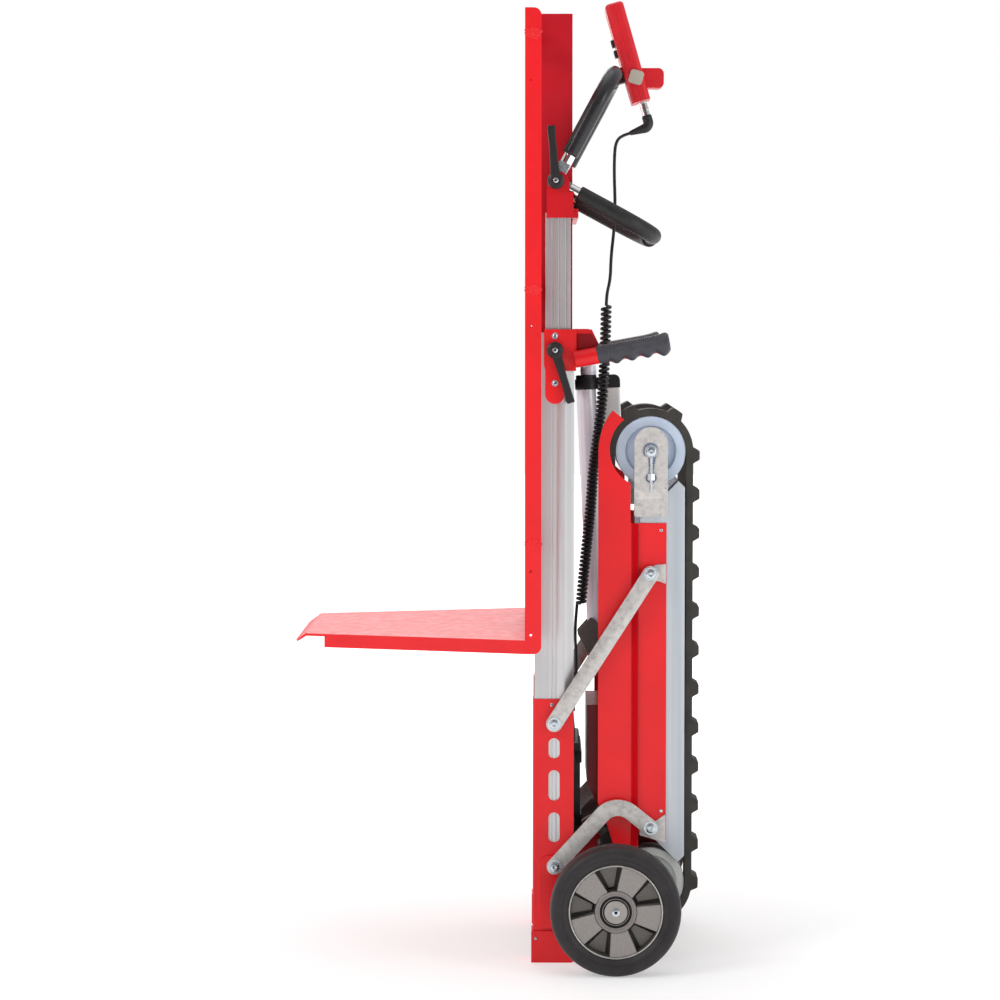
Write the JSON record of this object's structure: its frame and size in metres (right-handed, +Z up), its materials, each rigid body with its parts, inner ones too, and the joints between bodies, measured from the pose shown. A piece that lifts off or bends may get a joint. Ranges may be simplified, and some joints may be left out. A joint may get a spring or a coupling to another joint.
{
  "type": "stair-climbing hand truck",
  "caption": "Upright powered hand truck on two wheels with a pair of swing-out stair-climbing crawler tracks, a lifting load carriage and adjustable loop handles.",
  "frame": {"origin": "centre of the bounding box at floor level, under the mast and the tracks", "axes": "+Z up along the mast, +X towards the operator and the crawler tracks, -X towards the load plate, +Y to the operator's right"},
  "size_m": [0.6291, 0.54, 1.5037],
  "materials": {
    "signal_red": "gloss powder coat",
    "satin_aluminium": "satin anodised",
    "cast_aluminium": "raw die casting, machined ring",
    "zinc_plate": "galvanised, mottled",
    "bright_steel": "zinc plated fasteners",
    "chrome_tube": "polished",
    "tyre_rubber": "matt",
    "track_rubber": "matt",
    "grip_rubber": "satin",
    "foam_grip": "satin foam",
    "idler_plastic": "moulded",
    "pulley_plastic": "moulded",
    "track_beam_aluminium": "anodised",
    "actuator_aluminium": "anodised",
    "black_plastic": "moulded",
    "black_paint": "satin",
    "grey_paint": "satin",
    "dark_red": "powder coat",
    "battery_plastic": "moulded",
    "cord_rubber": "satin",
    "beige_plastic": "moulded",
    "bronze_slide": "slide plastic"
  },
  "bodies": {
    "base": {"mast_profiles": "satin_aluminium", "base_channels": "signal_red", "foot_shoes": "signal_red", "cross_plates": "bright_steel", "power_boxes": "black_plastic", "battery_pack": "battery_plastic", "lift_gearmotor": "black_paint", "base_pivots": "bright_steel", "handle_frame": "signal_red", "handle_grips": "grip_rubber", "cord_coil": "cord_rubber", "cord_tail": "cord_rubber"},
    "lift_screw": {"lift_screw": "bright_steel"},
    "wheel_left": {"tyre_left": "tyre_rubber", "rim_left": "cast_aluminium", "wheel_bearings_left": "bright_steel"},
    "wheel_right": {"tyre_right": "tyre_rubber", "rim_right": "cast_aluminium", "wheel_bearings_right": "bright_steel"},
    "crawler": {"track_sides": "signal_red", "track_beams": "track_beam_aluminium", "track_belt_left": "track_rubber", "track_belt_right": "track_rubber", "idler_tensioners": "zinc_plate", "crawler_frame": "black_paint", "drive_housing": "dark_red", "drive_gearmotor": "black_paint", "crawler_link_bolts": "bright_steel"},
    "idlers": {"idlers": "idler_plastic"},
    "drive": {"drive_pulleys": "pulley_plastic", "drive_shaft": "bright_steel"},
    "upper_links": {"upper_links": "zinc_plate"},
    "lower_links": {"lower_links": "zinc_plate"},
    "actuator": {"actuator_gearbox": "black_paint", "actuator_motor": "grey_paint", "actuator_tube": "actuator_aluminium"},
    "actuator_rod": {"actuator_rod": "chrome_tube"},
    "mast_extension": {"inner_profiles": "satin_aluminium", "head_brackets": "signal_red", "cord_lead": "cord_rubber"},
    "upper_loop": {"upper_loop": "chrome_tube", "upper_loop_grips": "foam_grip", "handset_front_shell": "signal_red", "handset_rear_shell": "signal_red", "handset_clip": "black_plastic", "cord_plug": "black_plastic"},
    "lower_loop": {"lower_loop": "chrome_tube", "lower_loop_grips": "foam_grip"},
    "lower_lever_left": {"lower_lever_left": "black_plastic"},
    "lower_lever_right": {"lower_lever_right": "black_plastic"},
    "upper_lever_left": {"upper_lever_left": "black_plastic"},
    "upper_lever_right": {"upper_lever_right": "black_plastic"},
    "side_button": {"handset_side_button": "beige_plastic"},
    "up_button": {"handset_up_button": "black_plastic"},
    "down_button": {"handset_down_button": "black_plastic"},
    "carriage": {"carriage_frame": "signal_red", "carriage_guides": "signal_red", "carriage_slides": "bronze_slide", "toe_plate": "signal_red"}
  },
  "joints": [
    {"name": "wheel_left_spin", "type": "hinge", "parent": "base", "child": "wheel_left", "pos_m": [0.1826, -0.245, 0.1], "axis": [0, 1, 0], "continuous": true},
    {"name": "wheel_right_spin", "type": "hinge", "parent": "base", "child": "wheel_right", "pos_m": [0.1826, 0.245, 0.1], "axis": [0, 1, 0], "continuous": true},
    {"name": "carriage_lift", "type": "slide", "parent": "base", "child": "carriage", "axis": [0, 0, 1], "range_m": [-0.485, 0.2]},
    {"name": "lift_screw_spin", "type": "hinge", "parent": "base", "child": "lift_screw", "pos_m": [0.076, 0, 0.4], "axis": [0, 0, 1], "continuous": true},
    {"name": "mast_slide", "type": "slide", "parent": "base", "child": "mast_extension", "axis": [0, 0, 1], "range_m": [-0.08, 0.2], "deforming": ["cord_coil"]},
    {"name": "upper_loop_tilt", "type": "hinge", "parent": "mast_extension", "child": "upper_loop", "pos_m": [0.091, 0, 1.214], "axis": [0, 1, 0], "range_deg": [-10, 25], "deforming": ["cord_lead"]},
    {"name": "lower_loop_tilt", "type": "hinge", "parent": "mast_extension", "child": "lower_loop", "pos_m": [0.091, 0, 1.214], "axis": [0, 1, 0], "range_deg": [-10, 8]},
    {"name": "lower_lever_left_turn", "type": "hinge", "parent": "base", "child": "lower_lever_left", "pos_m": [0.09, -0.169, 0.953], "axis": [0, 1, 0], "range_deg": [-20, 30]},
    {"name": "lower_lever_right_turn", "type": "hinge", "parent": "base", "child": "lower_lever_right", "pos_m": [0.09, 0.169, 0.953], "axis": [0, 1, 0], "range_deg": [-20, 30]},
    {"name": "upper_lever_left_turn", "type": "hinge", "parent": "mast_extension", "child": "upper_lever_left", "pos_m": [0.091, -0.164, 1.214], "axis": [0, 1, 0], "range_deg": [0, 60]},
    {"name": "upper_lever_right_turn", "type": "hinge", "parent": "mast_extension", "child": "upper_lever_right", "pos_m": [0.091, 0.164, 1.214], "axis": [0, 1, 0], "range_deg": [0, 60]},
    {"name": "lower_links_swing", "type": "hinge", "parent": "base", "child": "lower_links", "pos_m": [0.09, 0, 0.1522], "axis": [0, 1, 0], "range_deg": [0, 30]},
    {"name": "upper_links_swing", "type": "hinge", "parent": "base", "child": "upper_links", "pos_m": [0.089, 0, 0.3746], "axis": [0, 1, 0], "range_deg": [0, 27]},
    {"name": "crawler_swing", "type": "hinge", "parent": "lower_links", "child": "crawler", "pos_m": [0.2385, 0, 0.2129], "axis": [0, 1, 0], "range_deg": [-19, 0]},
    {"name": "actuator_swing", "type": "hinge", "parent": "base", "child": "actuator", "pos_m": [0.138, 0, 0.942], "axis": [0, 1, 0], "range_deg": [-7.5, 0]},
    {"name": "actuator_extend", "type": "slide", "parent": "actuator", "child": "actuator_rod", "axis": [0.0476, 0, -0.9989], "range_m": [0, 0.08]},
    {"name": "drive_spin", "type": "hinge", "parent": "crawler", "child": "drive", "pos_m": [0.2375, 0, 0.1226], "axis": [0, 1, 0], "continuous": true},
    {"name": "idlers_spin", "type": "hinge", "parent": "crawler", "child": "idlers", "pos_m": [0.2387, 0, 0.7963], "axis": [0, 1, 0], "continuous": true},
    {"name": "side_button_press", "type": "slide", "parent": "upper_loop", "child": "side_button", "axis": [0, 1, 0], "range_m": [0, 0.0015], "stiffness_N_per_m": 400},
    {"name": "up_button_press", "type": "slide", "parent": "upper_loop", "child": "up_button", "axis": [0.9612, 0, 0.2759], "range_m": [0, 0.003], "stiffness_N_per_m": 300},
    {"name": "down_button_press", "type": "slide", "parent": "upper_loop", "child": "down_button", "axis": [0.9612, 0, 0.2759], "range_m": [0, 0.003], "stiffness_N_per_m": 300}
  ],
  "couplings": [
    {"joint": "upper_links_swing", "follows": "lower_links_swing", "ratio": 0.89},
    {"joint": "crawler_swing", "follows": "lower_links_swing", "ratio": -0.62},
    {"joint": "actuator_swing", "follows": "lower_links_swing", "ratio": -0.235},
    {"joint": "actuator_extend", "follows": "lower_links_swing", "m_per_rad": 0.1461},
    {"joint": "idlers_spin", "follows": "drive_spin", "ratio": 1},
    {"joint": "lift_screw_spin", "follows": "carriage_lift", "rad_per_m": 251.33}
  ]
}
